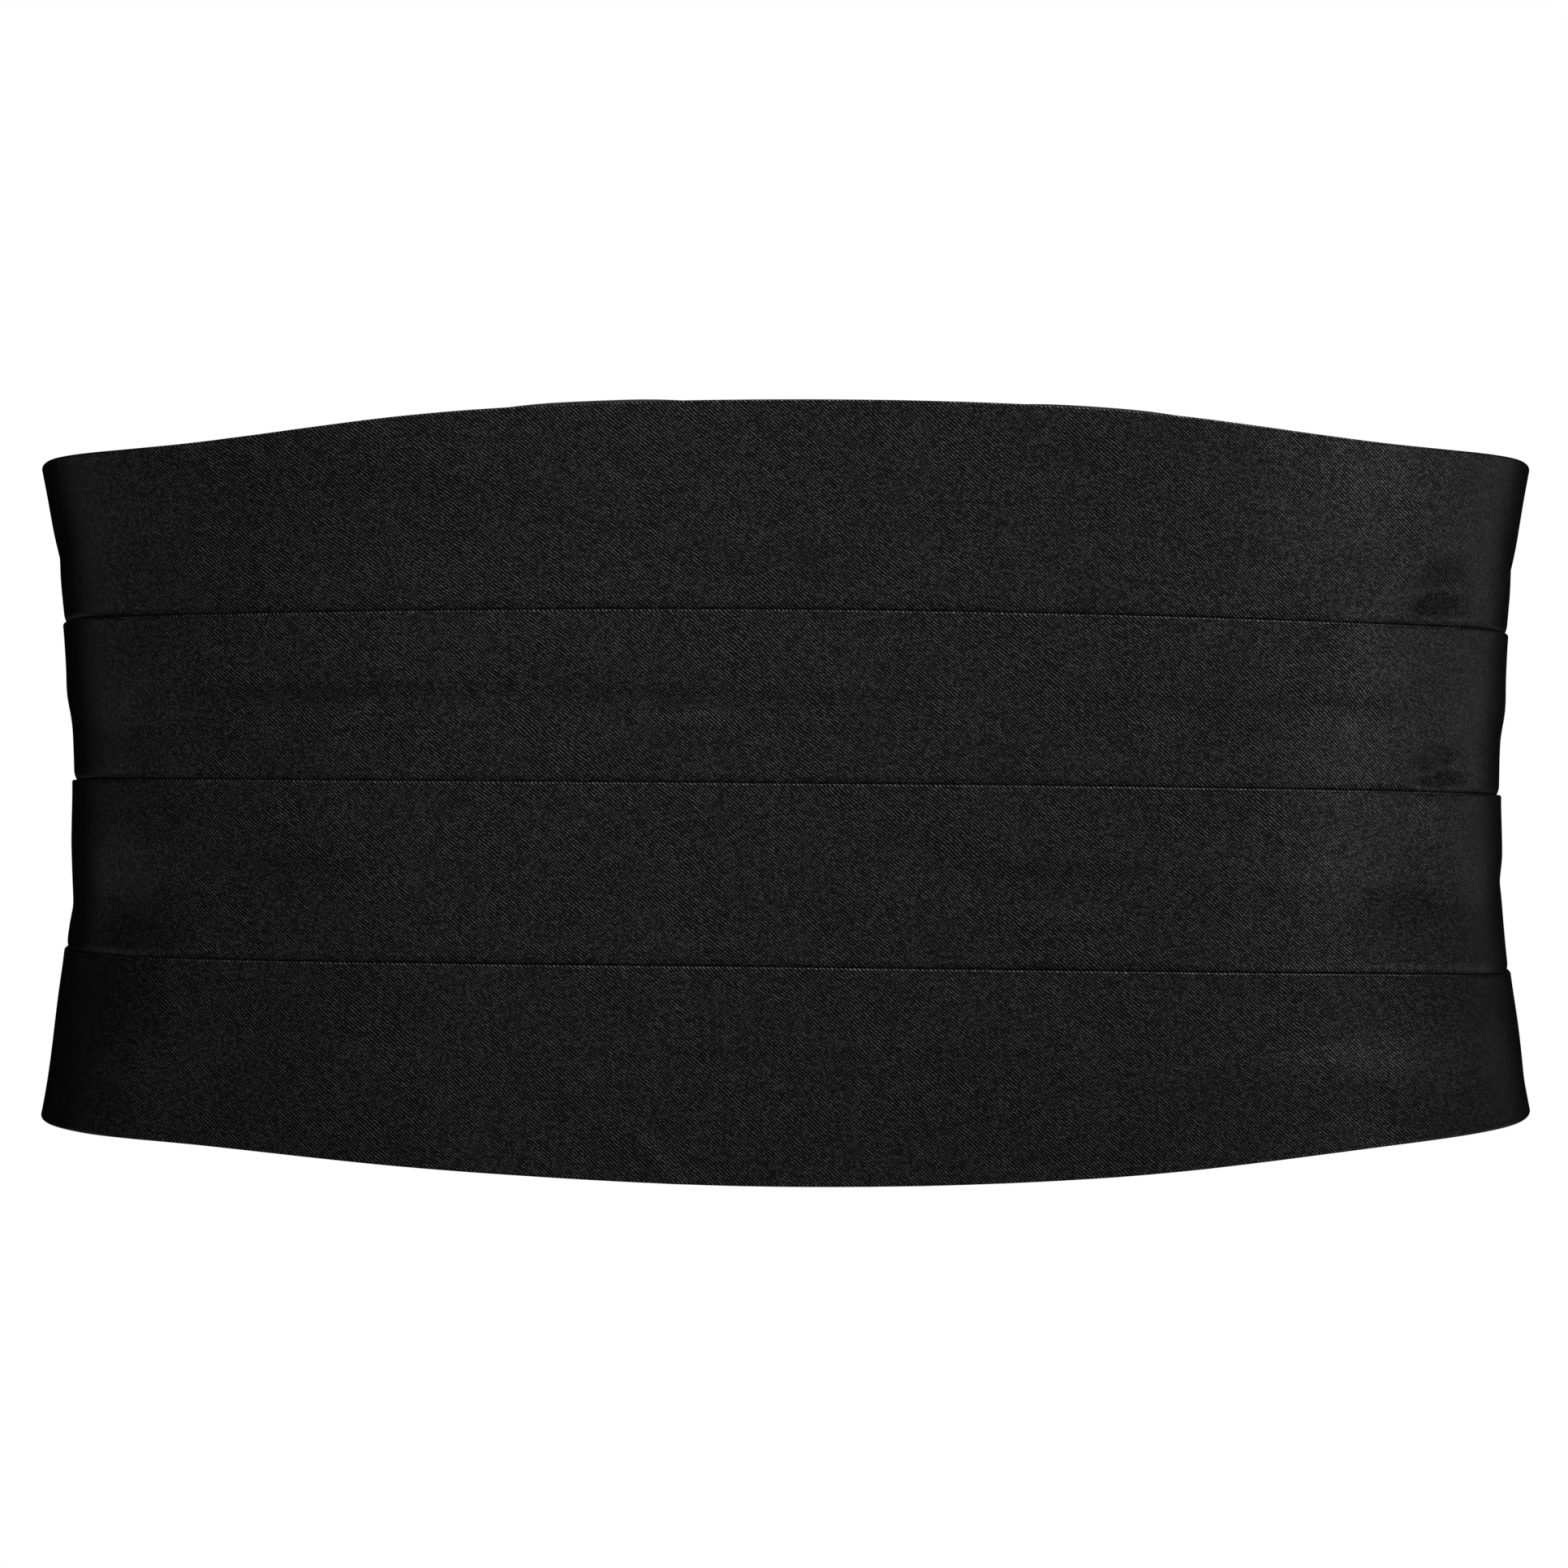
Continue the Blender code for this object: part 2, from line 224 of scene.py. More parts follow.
# %% [markdown]
# ## Black satin
#
# Satin shines because its face is nearly all floats: threads that pass over several others
# before they dip under one. Here the floats lie across, about 0.6 mm long in rows 0.29 mm high,
# and each row starts a little further along than the last. That shift draws the fine diagonal
# lines that show in the cloth. The pattern is worked out from two directions in millimetres of
# cloth. Each float gets a rounded top. Its colour is painted lighter on that top as a painted
# highlight and black between floats as painted shade. Each float also gets a painted glint, a
# random brightness of its own.

# %% Make the satin
FLOAT_ALONG = (1.370, 1.574)  # floats counted per mm across and up the cloth
FLOAT_ROWS = (0.532, -3.476)  # rows counted per mm across and up the cloth
FLOAT_HEIGHT = 0.03 * MM
# painted glint: a random brightness for each float
FLOAT_GLINTS = (0.38, 2.1)  # of the dullest float and the brightest
# painted shade between the floats, and painted highlight on their tops
SHADE_BETWEEN_FLOATS = (0.0, 0.0, 0.0)
HIGHLIGHT_ON_A_FLOAT = (0.13, 0.13, 0.13)


class Nodes:
    """A short way to write a node tree: each call adds a node and returns its first output."""

    def __init__(self, tree):
        self.tree = tree

    def add(self, kind, inputs=(), output=0, **settings):
        node = self.tree.nodes.new(kind)
        for key, value in settings.items():
            setattr(node, key, value)
        for socket, value in dict(inputs).items():
            if isinstance(value, bpy.types.NodeSocket):
                self.tree.links.new(value, node.inputs[socket])
            else:
                node.inputs[socket].default_value = value
        return node.outputs[output]

    def math(self, operation, *values):
        return self.add("ShaderNodeMath", dict(enumerate(values)), operation=operation)

    def dot(self, vector, direction):
        inputs = {0: vector, 1: (*direction, 0.0)}
        return self.add("ShaderNodeVectorMath", inputs, output=1, operation="DOT_PRODUCT")

    def noise(self, vector, scale, detail, dimensions="2D"):
        inputs = {"Vector": vector, "Scale": scale, "Detail": detail}
        return self.add("ShaderNodeTexNoise", inputs, noise_dimensions=dimensions)

    def remap(self, value, low, high, to_low, to_high):
        inputs = {0: value, 1: low, 2: high, 3: to_low, 4: to_high}
        return self.add("ShaderNodeMapRange", inputs)

    def spread(self, noise, low, high):
        """Noise, which lies mostly between 0.3 and 0.7, spread out between two values."""
        return self.remap(noise, 0.3, 0.7, low, high)

    def wave(self, count):
        """0 at each whole count and 1 halfway between, by a cosine."""
        turned = self.math("COSINE", self.math("MULTIPLY", count, 2 * np.pi))
        return self.remap(turned, 1.0, -1.0, 0.0, 1.0)

    def mix(self, share, dark, light, clamp=True):
        """A colour between two others; past them too where the share isn't clamped."""
        inputs = {"Factor": share, 6: (*dark, 1.0), 7: (*light, 1.0)}
        kind = {"data_type": "RGBA", "clamp_factor": clamp}
        return self.add("ShaderNodeMix", inputs, output=2, **kind)

    def bump(self, raised, depth, strength):
        """The normal of a pattern that is raised by this depth in metres."""
        inputs = {"Height": self.math("MULTIPLY", raised, depth), "Distance": 1.0}
        return self.add("ShaderNodeBump", {**inputs, "Strength": strength})


def new_material(name):
    """An empty Principled material: its nodes helper and its shader."""
    material = bpy.data.materials.new(name)
    material.use_nodes = True
    nodes = Nodes(material.node_tree)
    shader = material.node_tree.nodes["Principled BSDF"]
    return material, nodes, shader


def finish_shader(nodes, shader, **values):
    """Link the patterns to the shader, and set what is the same all over on its own sockets."""
    for key, value in values.items():
        socket = shader.inputs[key.replace("_", " ")]
        if isinstance(value, bpy.types.NodeSocket):
            nodes.tree.links.new(value, socket)
        else:
            socket.default_value = value


def cloth_mm(nodes):
    """The cloth's own coordinates in millimetres, from the UV map in metres."""
    uv = nodes.add("ShaderNodeUVMap", uv_map="cloth")
    return nodes.add("ShaderNodeVectorMath", {0: uv, 3: 1 / MM}, operation="SCALE")


def make_satin():
    """Floats on a skewed lattice: a counts them along, b counts rows, and noise bends both."""
    material, nodes, shader = new_material("black_satin")
    place_mm = cloth_mm(nodes)
    bend = nodes.spread(nodes.noise(place_mm, 0.04, 4.0), -1.0, 1.0)
    a = nodes.math("ADD", nodes.dot(place_mm, FLOAT_ALONG), bend)
    b = nodes.math("ADD", nodes.dot(place_mm, FLOAT_ROWS), bend)
    halves = nodes.math("FLOOR", nodes.math("MULTIPLY", a, 2.0))
    number = nodes.add("ShaderNodeCombineXYZ", {0: halves, 1: nodes.math("FLOOR", b)})
    # painted glint: each float's random brightness
    glint_noise = nodes.add("ShaderNodeTexWhiteNoise", {"Vector": number}, noise_dimensions="2D")
    lifted = nodes.math("MULTIPLY", nodes.wave(a), nodes.remap(nodes.wave(b), 0.0, 1.0, 0.55, 1.0))
    slubs = nodes.spread(nodes.noise(place_mm, 0.12, 4.0), 0.94, 1.06)
    # painted highlight on the float tops and painted shade between them, from the bump's heights
    lit_and_shaded = nodes.math("MULTIPLY", nodes.math("POWER", lifted, 1.5), slubs)
    glint = nodes.remap(nodes.math("POWER", glint_noise, 2.0), 0.0, 1.0, *FLOAT_GLINTS)
    tone = nodes.math("MULTIPLY", lit_and_shaded, glint)
    finish_shader(
        nodes,
        shader,
        Base_Color=nodes.mix(tone, SHADE_BETWEEN_FLOATS, HIGHLIGHT_ON_A_FLOAT, clamp=False),
        Normal=nodes.bump(lifted, FLOAT_HEIGHT, 0.5),
        Roughness=0.28,
        Metallic=0.8,
        Specular_IOR_Level=0.3,
    )
    return material


SATIN = make_satin()
print("satin: floats per mm", FLOAT_ALONG, "rows per mm", FLOAT_ROWS)

# %% [markdown]
# ## Creases
#
# Pressed satin on a stiff backing hardly creases, but it is never flat. It dips where the band
# lifts off, puckers near the ends where the pleats draw together, and keeps a few marks of how it
# was folded. Each mark is a soft trough or ridge, listed one by one: where it is, how long and
# wide, how it tilts and how deep. The marks move every layer of cloth alike, so none cuts another.

# %% Place the creases
# along, up, length, width in mm, tilt in degrees, depth in mm (a ridge is positive)
CREASES = np.array([
    (-124.5, -20.5, 12, 15, 0, -1.1),
    (-121, -53, 42, 22, 82, 2),
    (121, 37, 12, 6, 8, -1.6),
    (123, 4.5, 12, 5.5, 8, -1.7),
    (122, 5.5, 4, 3, 0, 0.68),
    (117, -10, 20, 18, 4, -1.3),
    (-22, -67, 13, 2.6, 128, 0.69),
    (2, 47, 60, 14, 3, 1.03),
    (-64, 50, 70, 12, -7, -0.8),
    (-118, 42, 30, 9, 70, -0.45),
    (52, 55, 46, 10, -5, -0.57),
    (104, 28, 34, 18, 76, 1.38),
    (72, 12, 26, 13, 60, -0.8),
    (-28, 17, 60, 7, -3, -0.69),
    (-12, 12, 20, 7, 12, 0.69),
    (38, 11, 26, 8, -10, 0.69),
    (-86, 16, 50, 6, 3, -0.69),
    (-84, -10, 46, 14, -12, 1.03),
    (30, -14, 52, 9, -8, -0.8),
    (58, -24, 40, 9, 9, 0.6),
    (-40, -24, 50, 8, 4, 0.57),
    (10, -50, 80, 12, 4, -0.69),
    (-70, -52, 50, 12, -14, 0.8),
    (98, -57, 56, 14, 2, 0.2),
    (168, 38, 42, 6, -24, -0.55),
    (178, 12, 50, 7, -12, 0.5),
    (170, -14, 36, 5, 9, -0.5),
    (182, -42, 44, 7, 22, -0.55),
    (215, 30, 38, 5, -18, 0.45),
    (225, -8, 52, 5.5, 3, -0.55),
    (232, -30, 36, 4.5, 14, 0.4),
    (268, 14, 40, 4, -11, -0.5),
    (272, -12, 34, 3.5, 7, -0.45),
    (280, 2, 26, 3.5, -3, 0.4),
    (-165, 42, 46, 6.5, 20, -0.5),
    (-176, 16, 38, 6, 10, 0.45),
    (-172, -18, 52, 6, -10, -0.55),
    (-186, -44, 36, 6.5, -24, -0.45),
    (-212, 26, 48, 5, 15, -0.5),
    (-222, 2, 40, 5, 2, 0.5),
    (-228, -26, 46, 5, -13, -0.5),
    (-266, 12, 30, 4, 9, 0.4),
    (-270, -4, 44, 3.5, -2, -0.5),
    (-278, -17, 28, 3.5, -9, 0.35),
])
CREASE_FADE = 0.8  # how fast a crease fades towards its ends and sides
CREASE_BOW = 0.3
SWELL_MM = 0.22
SWELL_LENGTHS = (23, 31, 19, 47)  # in mm, uneven, so that the swell doesn't repeat


def relief(along, up):
    """How far the creases move the cloth out: each is a bell across and along, on a soft swell."""
    shape = np.broadcast_shapes(np.shape(along), np.shape(up))
    u, v = np.broadcast_to(along, shape) / MM, np.broadcast_to(up, shape) / MM
    a, b, c, d = SWELL_LENGTHS
    swell = np.sin(u / a + 1.3 * np.sin(v / b)) * np.cos(v / c + 0.8 * np.sin(u / d))
    moved = SWELL_MM * swell
    for where, height, length, width, tilt, depth in CREASES:
        turn = np.radians(tilt)
        du, dv = u - where, v - height
        run = (du * np.cos(turn) + dv * np.sin(turn)) / (length / 2)
        side = (dv * np.cos(turn) - du * np.sin(turn)) / (width / 2) + CREASE_BOW * run**2
        moved = moved + depth * np.exp(-CREASE_FADE * run**2 - CREASE_FADE * side**2)
    return moved * MM


print("creases:", len(CREASES))

# %% [markdown]
# ## The pleated satin
#
# In section each band is one run of cloth. It starts hidden, at the foot of the pleat, and climbs
# behind its own face. It turns over at the folded edge in a hairpin, comes down as the face, and
# runs on behind the next band as a tail. Three layers lie together just under a folded edge, so
# the face stands out there and sinks once the layers below it end. Above each edge the cloth
# dives under the next band, and that short steep turn is the dark line between the bands.

# %% Build the four bands
SATIN_THICK = 0.35 * MM
OVERLAP = 14.0 * MM
TURNING = 8.0 * MM
TAIL_OUT = 1.50 * MM
LOW_OUT = 2.00 * MM
RETURN_OUT = 1.93 * MM
FOLD_OUT = 2.40 * MM
HIGH_OUT = 2.52 * MM
PUFF = 8.0 * MM
DIVE = 2.0 * MM
DIVE_POWER = 2.4
SINK = 4.5 * MM
SINK_STARTS_EARLY = 0.22  # the share of the sink that is over where the layers end
MORE_SINK_AT_ENDS = (8.0 * MM, 8.0 * MM, 8.0 * MM, 18.0 * MM)  # for each band
ENDS_START = 95.0 * MM
ENDS_RUN = 35.0 * MM
COLUMNS = 415
HAIRPIN_ROWS = 9
HIDDEN_ROWS = 6
# rows of the face: close together near the fold and near the foot, and 30 between
FACE_ROWS = 30
NEAR_FOLD = np.linspace(0, 3, 8)[1:] * MM
NEAR_FOOT = np.array([2.8, 2.2, 1.8, 1.4, 1.1, 0.8, 0.55, 0.35, 0.15, 0.0]) * MM
TAIL_STEP = 0.3 * MM
BAND_STEP = 60 * MM  # between two bands' places on the uncut cloth


def face_out(below, length, share, sink, is_top, is_bottom):
    """How far out the face runs, by how far it is below its folded edge.

    It puffs out by an S curve, sinks by another over the length sink, and dives by a power.
    """
    if is_top:
        start = LOW_OUT + 0 * below
    else:
        puffed = FOLD_OUT + (HIGH_OUT - FOLD_OUT) * smooth_step(below / PUFF)
        sunk = smooth_step((below / share - OVERLAP) / sink + SINK_STARTS_EARLY)
        start = puffed + (LOW_OUT - HIGH_OUT) * sunk
    if is_bottom:
        return start
    left = np.clip((length - below) / DIVE, 0, 1)
    return start - (LOW_OUT - TAIL_OUT) * (1 - left) ** DIVE_POWER


def hairpin(inner, outer, tip, upward):
    """Out and up along half a circle from the inner layer to the outer one, round a folded edge."""
    turn = np.radians(np.linspace(180, 0, HAIRPIN_ROWS))[:, None]
    radius = (outer - inner) / 2
    rise = radius * np.sin(turn) * (1 if upward else -1)
    return (inner + outer) / 2 + radius * np.cos(turn) + 0 * tip, tip + rise


def band_section(number, along):
    """Out and up of one band's rows in each column, from its return's hidden end to its tail."""
    is_top, is_bottom = number == 0, number == len(BANDS) - 1
    share = height_share(along)[None]
    top, bottom = edge_height(number, along)[None], edge_height(number + 1, along)[None]
    inner = TAIL_OUT if is_top else RETURN_OUT
    outer = LOW_OUT if is_top else FOLD_OUT
    radius = (outer - inner) / 2
    tip = top - radius - SATIN_THICK / 2
    depth = TURNING if is_top else OVERLAP * share
    t = np.linspace(0, 1, HIDDEN_ROWS + 1)[:-1, None]
    outs, ups = [inner + 0 * t * tip], [tip - depth * (1 - t)]
    out, up = hairpin(inner, outer, tip, True)
    outs.append(out)
    ups.append(up)
    foot = bottom + (SATIN_THICK if is_bottom else 0)
    length = tip - foot
    spread = np.linspace(0, 1, FACE_ROWS + 2)[1:-1, None]
    middle = NEAR_FOLD[-1] + spread * (length - NEAR_FOLD[-1] - NEAR_FOOT[0])
    below = np.concatenate([NEAR_FOLD[:, None] + 0 * tip, middle, length - NEAR_FOOT[:, None]])
    near_end = smooth_step((np.abs(along)[None] - ENDS_START) / ENDS_RUN)
    sink = SINK + MORE_SINK_AT_ENDS[number] * near_end
    outs.append(face_out(below, length, share, sink, is_top, is_bottom))
    ups.append(tip - below)
    if is_bottom:
        out, up = hairpin(TAIL_OUT, LOW_OUT, foot, False)
        outs += [out[::-1][1:], TAIL_OUT + 0 * t * tip]
        ups += [up[::-1][1:], foot + TURNING * (t + t[1])]
    else:
        outs.append(TAIL_OUT + 0 * t * tip)
        ups.append(foot - TAIL_STEP - (OVERLAP * share - TAIL_STEP) * t)
    return np.concatenate(outs), np.concatenate(ups)


def make_band(number):
    """One band of satin, with its flat size printed; its cut's height is returned."""
    along = np.linspace(-PANEL_END, PANEL_END, COLUMNS)
    out, up = band_section(number, along)
    down = run_down(out, up)
    tip_row = HIDDEN_ROWS + HAIRPIN_ROWS // 2
    points = place(along[None], out + relief(along[None], up), up)
    uv = np.stack([along[None] + 0 * up, down[tip_row] - down - number * BAND_STEP], axis=-1)
    node = BANDS[number]
    band = grid_mesh(f"{node}_satin", points, uv, SATIN_THICK, SATIN)
    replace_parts(band, node)
    cut = float(down[-1].max())
    print(node, "cut in mm:", round(2 * PANEL_END / MM), "by", round(cut / MM, 1))
    return cut


cut_height = sum(make_band(number) for number in range(len(BANDS)))
print("whole panel's cut height in mm:", round(cut_height / MM, 1))

# %% [markdown]
# ## The backing
#
# The pleats are sewn on a lining with a stiff interlining, which keeps the front flat. It faces
# the wearer, and its edge peeps over the satin in two places along the top. It is the same kind
# of grid, thicker, and it bends with the same creases as the satin in front of it.

# %% Build the backing
BACKING_THICK = 1.3 * MM
BACKING_ROWS = 44
EDGE_ROUNDING = 0.3 * MM
EDGE_ANGLE = 50
PEEPS = ((-34.0, 17.0, 0.42), (56.0, 16.0, 0.36))  # along, half length and height, in mm
PEEP_HEIGHT = 0.4 * MM  # their usual height, to which the distance below the top is added
BELOW_TOP = 0.35 * MM
LINING_PITCH_MM = 0.32
LINING_DARK = (0.004, 0.004, 0.004)
LINING_PALE = (0.026, 0.026, 0.027)


def round_edges(piece, width, segments=2):
    """A Bevel modifier on the sharp edges that Solidify leaves."""
    bevel = piece.modifiers.new("edges", "BEVEL")
    bevel.width = width
    bevel.segments = segments
    bevel.limit_method = "ANGLE"
    bevel.angle_limit = np.radians(EDGE_ANGLE)


def make_lining():
    """Plain weave, matt black: the product of two sines, one for each way of the threads."""
    material, nodes, shader = new_material("black_lining")
    place_mm = cloth_mm(nodes)
    thread = 2 * np.pi / LINING_PITCH_MM
    warp = nodes.math("SINE", nodes.dot(place_mm, (thread, 0.0)))
    weft = nodes.math("SINE", nodes.dot(place_mm, (0.0, thread)))
    weave = nodes.math("MULTIPLY", warp, weft)
    cloudy = nodes.math("MULTIPLY", nodes.noise(place_mm, 0.08, 4.0), 0.5)
    speck = nodes.math("MULTIPLY", nodes.noise(place_mm, 2.4, 1.0), 0.5)
    tone = nodes.math("ADD", nodes.math("MULTIPLY", weave, 0.15), nodes.math("ADD", cloudy, speck))
    finish_shader(
        nodes,
        shader,
        Base_Color=nodes.mix(tone, LINING_DARK, LINING_PALE),
        Normal=nodes.bump(weave, 0.03 * MM, 0.6),
        Roughness=0.75,
        Specular_IOR_Level=0.35,
        Sheen_Weight=0.15,
    )
    return material


def make_backing():
    """The backing's middle layer from its bottom edge to its top edge, thickened both ways."""
    along = np.linspace(-PANEL_END, PANEL_END, COLUMNS)[None]
    peep = sum(h * MM * np.exp(-(((along / MM - at) / half) ** 4)) for at, half, h in PEEPS)
    low = edge_height(4, along) + BELOW_TOP
    high = edge_height(0, along) - BELOW_TOP + peep * (1 + BELOW_TOP / PEEP_HEIGHT)
    up = low + (high - low) * np.linspace(1, 0, BACKING_ROWS)[:, None]
    out = BACKING_THICK / 2 + relief(along, up)
    uv = np.stack([along + 0 * up, up], axis=-1)
    points = place(along, out, up)
    lining = make_lining()
    backing = grid_mesh("backing_cloth", points, uv, BACKING_THICK, lining)
    round_edges(backing, EDGE_ROUNDING)
    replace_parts(backing, "backing")


make_backing()

# %% [markdown]
# ## Sewing thread
#
# A line of machine stitches is a row of short thread runs, each pulled into the cloth at both
# ends. One stitch is a small arched tube. It is copied along a line by numpy, with its own
# direction and lift at each place, and the whole line is a single mesh.

# %% A helper for lines of stitches
STITCH_LENGTH = 2.3 * MM
STITCH_PITCH = 2.9 * MM
THREAD_RADIUS = 0.16 * MM
THREAD_DARK = (0.006, 0.006, 0.006)
THREAD_PALE = (0.045, 0.045, 0.047)
STITCH_RINGS = 7
STITCH_SIDES = 6


def make_thread():
    """Black polyester thread: darker and lighter patches, a little shiny."""
    material, nodes, shader = new_material("black_thread")
    spot = nodes.add("ShaderNodeTexCoord", output=3)
    colour = nodes.mix(nodes.noise(spot, 2500.0, 2.0, "3D"), THREAD_DARK, THREAD_PALE)
    finish_shader(nodes, shader, Base_Color=colour, Roughness=0.45)
    return material


THREAD = make_thread()


def stitch_template():
    """Points of one stitch, ring by ring: a tube that thins and dips at both ends by powers."""
    t = np.linspace(-1, 1, STITCH_RINGS)[:, None]
    turn = np.linspace(0, 2 * np.pi, STITCH_SIDES, endpoint=False)[None]
    thin = THREAD_RADIUS * np.sqrt(np.clip(1 - t**6, 0.02, None))
    arch = THREAD_RADIUS * (1.1 * (1 - t**4) - 0.9)
    along = t * STITCH_LENGTH / 2 + 0 * turn
    return np.stack([along, thin * np.cos(turn), arch + thin * np.sin(turn)], -1).reshape(-1, 3)


def stitch_lines(name, lines):
    """One mesh of stitches: the template, turned to each step of each line and laid on it.

    Each line is a pair: its points on the cloth, and the way out of the cloth at each of them.
    """
    template = stitch_template()
    quads = np.arange(len(template)).reshape(STITCH_RINGS, STITCH_SIDES)
    after = np.roll(quads, -1, axis=1)
    sheets = np.stack([quads[:-1], quads[1:], after[1:], after[:-1]], -1).reshape(-1, 4)
    verts, faces, caps = [], [], []
    start = 0
    for points, outward in lines:
        run = run_of(points)
        count = max(2, int(round(run[-1] / STITCH_PITCH)) + 1)
        even, lift = at_even_steps(points, run, count), at_even_steps(outward, run, count)
        middle = (even[1:] + even[:-1]) / 2
        way = np.diff(even, axis=0)
        way /= np.linalg.norm(way, axis=1, keepdims=True)
        out = (lift[1:] + lift[:-1]) / 2
        out -= (out * way).sum(1, keepdims=True) * way
        out /= np.linalg.norm(out, axis=1, keepdims=True)
        side = np.cross(out, way)
        basis = np.stack([way, side, out], axis=1)
        placed = middle[:, None] + template @ basis
        verts.append(placed.reshape(-1, 3))
        offsets = start + np.arange(len(middle))[:, None, None] * len(template)
        faces += (sheets[None] + offsets).reshape(-1, 4).tolist()
        for first in (quads[0, ::-1], quads[-1]):
            caps += (first[None] + offsets[:, 0]).tolist()
        start += len(middle) * len(template)
    mesh = bpy.data.meshes.new(name)
    mesh.from_pydata(np.concatenate(verts).tolist(), [], faces + caps)
    mesh.shade_smooth()
    add_piece(name, mesh, THREAD)
    print(name, "stitches:", start // len(template))


def cloth_line(along, out, up, face):
    """A stitch line on the cloth: its points, and the way off the cloth there.

    face is 1 on the outside and -1 on the inside.
    """
    moved = relief(along, up)
    points = place(along, out + moved, up)
    return points, face * (place(along, out + moved + MM, up) - points) / MM


print("one stitch in mm:", round(STITCH_LENGTH / MM, 1), "every", round(STITCH_PITCH / MM, 1))

# %% [markdown]
# The satin is turned over the backing's edges and caught to it on the inside, a few millimetres
# from the edge. These lines show only from behind, through the open waist.

# %% Sew the backing's edges
FROM_THE_EDGE = 4.0 * MM
FROM_THE_END = 15 * MM
INSIDE_OUT = -0.05 * MM
inside_along = np.linspace(-PANEL_END + FROM_THE_END, PANEL_END - FROM_THE_END, 400)
stitch_lines(
    "backing_stitches",
    [
        cloth_line(inside_along, INSIDE_OUT, edge_height(0, inside_along) - FROM_THE_EDGE, -1),
        cloth_line(inside_along, INSIDE_OUT, edge_height(4, inside_along) + FROM_THE_EDGE, -1),
    ],
)

# %% [markdown]
# ## The end bands
#
# Behind the wearer a folded strip of satin catches the ends of all the pleats. It runs along the
# outside, turns round the ends and comes back along the inside. The path is drawn in along and
# out, and the grid carries it up the height of the panel there.

# %% Build the end bands
END_BAND_WIDTH = 14.0 * MM
END_BAND_THICK = 0.6 * MM
END_OUTSIDE = 3.45 * MM
END_INSIDE = -0.40 * MM
END_MIDDLE = (END_OUTSIDE + END_INSIDE) / 2
END_NOSE = 1.6 * MM
END_MARGIN = 0.2 * MM
END_ROWS = 41
END_STITCHES = (2.2 * MM, 11.6 * MM)  # from the strip's free edge
END_STITCH_MARGIN = 1.2 * MM
PUCKER = 0.22 * MM
PUCKER_PITCH = 1.45 * MM
PUCKER_FROM_END_MM = 11.5
PUCKER_SPREAD = 6
ON_THE_FACE = 0.02 * MM  # how far stitches lie above the cloth


def end_band_path():
    """Along and out from the outer edge, round half an ellipse at the end, to the inner edge."""
    turn = np.radians(np.linspace(90, -90, 15))
    round_the_end = PANEL_END + END_NOSE * np.cos(turn)
    ellipse = np.stack([round_the_end, END_MIDDLE + (END_OUTSIDE - END_MIDDLE) * np.sin(turn)], -1)
    leg = np.linspace(PANEL_END - END_BAND_WIDTH, PANEL_END, 12)[:-1]
    outer = np.stack([leg, np.full_like(leg, END_OUTSIDE)], -1)
    inner = np.stack([leg[::-1], np.full_like(leg, END_INSIDE)], -1)
    return np.concatenate([outer, ellipse, inner])


def make_end_band(name, side):
    """The strip's path carried up, with its stitch lines; side is 1 on the wearer's left."""
    path = end_band_path()
    along = side * path[:, :1]
    inside = side * np.minimum(path[:, :1], PANEL_END)
    low, high = edge_height(4, inside), edge_height(0, inside)
    t = np.linspace(0, 1, END_ROWS)[None]
    up = low - END_MARGIN + (high - low + 2 * END_MARGIN) * (t if side > 0 else 1 - t)
    off_seam = (along * side - PANEL_END) / MM + PUCKER_FROM_END_MM
    draw = PUCKER * np.cos(up / PUCKER_PITCH) * np.exp(-(off_seam**2) / PUCKER_SPREAD)
    out = path[:, 1:] + draw * np.sign(path[:, 1:]) + relief(inside, up)
    run = run_of(path)
    uv = np.stack([up, run[:, None] + 0 * up], axis=-1)
    band = grid_mesh(f"{name}_satin", place(along, out, up), uv, END_BAND_THICK, SATIN)
    round_edges(band, 0.2 * MM)
    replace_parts(band, name)
    lines = []
    for from_edge in END_STITCHES:
        at = np.full(60, side * (PANEL_END - END_BAND_WIDTH + from_edge))
        foot = edge_height(4, at[0]) + END_STITCH_MARGIN
        top = edge_height(0, at[0]) - END_STITCH_MARGIN
        for leg, face in ((END_OUTSIDE, 1), (END_INSIDE, -1)):
            out = leg + face * (END_BAND_THICK / 2 + ON_THE_FACE)
            lines.append(cloth_line(at, out, np.linspace(foot, top, 60), face))
    stitch_lines(f"{name}_stitches", lines)


make_end_band("end_band_left", 1)
make_end_band("end_band_right", -1)

# %% [markdown]
# ## The straps
#
# Each strap is black ribbed webbing, 25 mm wide. It comes out of the end band, runs level to the
# clasp, turns round the bar there and comes back against itself, where a sewn box holds it.

# %% Weave the webbing and build the straps
STRAP_HALF_HEIGHT = 12.5 * MM
STRAP_THICK = 1.2 * MM
STRAP_DOUBLED = 17.0 * MM
STRAP_GAP = 0.3 * MM
CLASP_OUT = 3.0 * MM
WIRE_RADIUS = 1.0 * MM
EYE_STRAP_BAR = 19.0 * MM
EYE_HOOK_BAR = 7.0 * MM
HOOK_PLATE = 1.0 * MM
HOOK_TAIL = 20.5 * MM
HOOK_TAIL_BAR = 2.5 * MM
STRAP_CUP = 0.25 * MM
STRAP_LAYER_GAP = 0.1 * MM
STRAP_LEVEL_RUN = 4.0 * MM  # inside the end band
STRAP_OUT_RUN = 9.0 * MM
BOX_MARGINS = (3.5 * MM, 1.5 * MM, 2.5 * MM)  # of the sewn box: to the loop, cut end, edges
RIB_MM = 0.85
WARP_MM = 0.42
WEBBING_DARK = (0.004, 0.004, 0.004)
WEBBING_PALE = (0.030, 0.030, 0.032)


